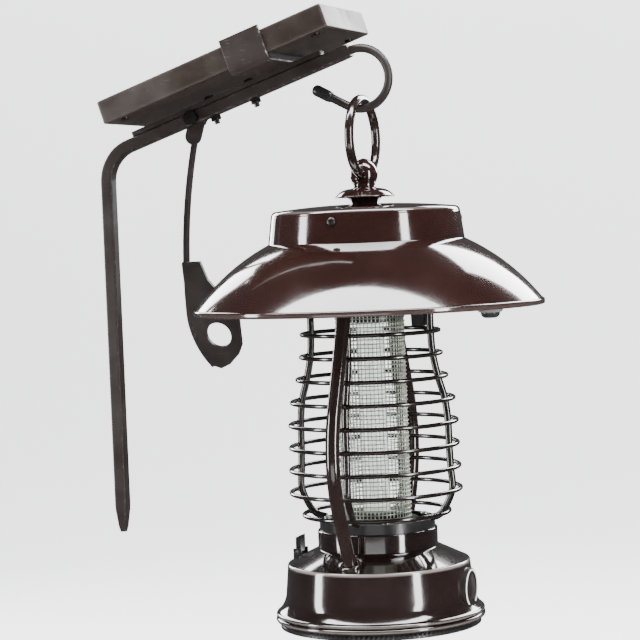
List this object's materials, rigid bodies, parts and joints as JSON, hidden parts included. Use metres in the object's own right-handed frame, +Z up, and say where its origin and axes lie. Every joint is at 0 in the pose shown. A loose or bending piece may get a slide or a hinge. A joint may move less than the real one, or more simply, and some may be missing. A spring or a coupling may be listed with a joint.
{
  "type": "electric bug zapper",
  "caption": "Solar lantern bug zapper hanging from a hooked ground post, with a wire cage, a killing grid round a lamp and a panel on the arm.",
  "frame": {"origin": "centre of the post's foot, at its lower end", "axes": "+Z up along the post, +X from the post towards the hanging lantern, +Y to the far side with the strap"},
  "size_m": [0.326, 0.245, 0.4307],
  "materials": {
    "bracket_coat": "satin powder coat",
    "tip_vinyl": "glossy dipped vinyl",
    "panel_plastic": "fine satin texture",
    "solar_cell": "smooth dark blue cells with silver lines",
    "panel_glass": "clear cover",
    "fastener": "blackened",
    "zinc": "zinc plated",
    "pad_rubber": "matt",
    "brown_enamel": "high gloss",
    "cage_coat": "gloss",
    "strut_coat": "gloss",
    "black_plastic": "satin",
    "grid_metal": "bright fine mesh",
    "lamp": "white diffusing tube",
    "board": "green solder mask",
    "battery": "blue heat-shrink film",
    "badge_plate": "plain boss with a light ring"
  },
  "bodies": {
    "bracket": {"bracket_bar": "bracket_coat", "hook_rod": "bracket_coat", "hook_tip_cap": "tip_vinyl", "panel_rail": "bracket_coat", "rail_bolts": "fastener", "rail_nuts": "fastener", "panel_saddle": "bracket_coat", "saddle_pad": "pad_rubber", "saddle_screws": "fastener", "panel_frame": "panel_plastic", "panel_back_cover": "panel_plastic", "panel_back_screws": "fastener", "solar_cells": "solar_cell", "panel_glass": "panel_glass", "strap_bolt": "fastener", "strap_nut": "fastener"},
    "strap": {"wall_strap": "bracket_coat"},
    "ring": {"hanging_ring": "strut_coat"},
    "lantern": {"hanger_eye": "brown_enamel", "hanger_dome": "brown_enamel", "hanger_nut": "zinc", "canopy_cap": "brown_enamel", "cap_screws": "fastener", "shade": "brown_enamel", "shade_cover": "black_plastic", "cover_screws": "fastener", "battery_pack": "battery", "circuit_board": "board", "transformer": "black_plastic", "button_bezel": "black_plastic", "switch_body": "black_plastic", "grid_top_holder": "black_plastic", "terminal_box": "black_plastic", "killing_grid": "grid_metal", "uv_tube": "lamp", "grid_base_holder": "black_plastic", "cage_ring_01": "cage_coat", "cage_ring_02": "cage_coat", "cage_ring_03": "cage_coat", "cage_ring_04": "cage_coat", "cage_ring_05": "cage_coat", "cage_ring_06": "cage_coat", "cage_ring_07": "cage_coat", "cage_ring_08": "cage_coat", "cage_ring_09": "cage_coat", "cage_bar_01": "cage_coat", "cage_bar_02": "cage_coat", "cage_bar_03": "cage_coat", "cage_bar_04": "cage_coat", "strut_near": "strut_coat", "strut_far": "strut_coat", "strut_ferrules": "strut_coat", "collar": "brown_enamel", "base_shell": "brown_enamel", "badge": "badge_plate", "latch_bracket": "black_plastic", "latch_pin": "zinc"},
    "button": {"power_button": "black_plastic"},
    "latch": {"base_latch": "black_plastic"},
    "tray": {"catch_tray": "black_plastic"}
  },
  "joints": [
    {"name": "strap_pivot", "type": "hinge", "parent": "bracket", "child": "strap", "pos_m": [0.0709, 0, 0.29973], "axis": [0, 1, 0], "range_deg": [-4, 12]},
    {"name": "ring_swing", "type": "hinge", "parent": "bracket", "child": "ring", "pos_m": [0.199, 0, 0.2992], "axis": [1, 0, 0], "range_deg": [-15, 15]},
    {"name": "lantern_swing", "type": "hinge", "parent": "ring", "child": "lantern", "pos_m": [0.199, 0, 0.25225], "axis": [0, 1, 0], "range_deg": [-12, 12]},
    {"name": "button_press", "type": "slide", "parent": "lantern", "child": "button", "axis": [0, 0, 1], "range_m": [0, 0.002], "stiffness_N_per_m": 400},
    {"name": "latch_tilt", "type": "hinge", "parent": "lantern", "child": "latch", "pos_m": [0.14, 0, -0.01137], "axis": [0, -1, 0], "range_deg": [0, 25]},
    {"name": "tray_twist", "type": "hinge", "parent": "lantern", "child": "tray", "pos_m": [0.199, 0, -0.061], "axis": [0, 0, 1], "range_deg": [0, 30]}
  ]
}
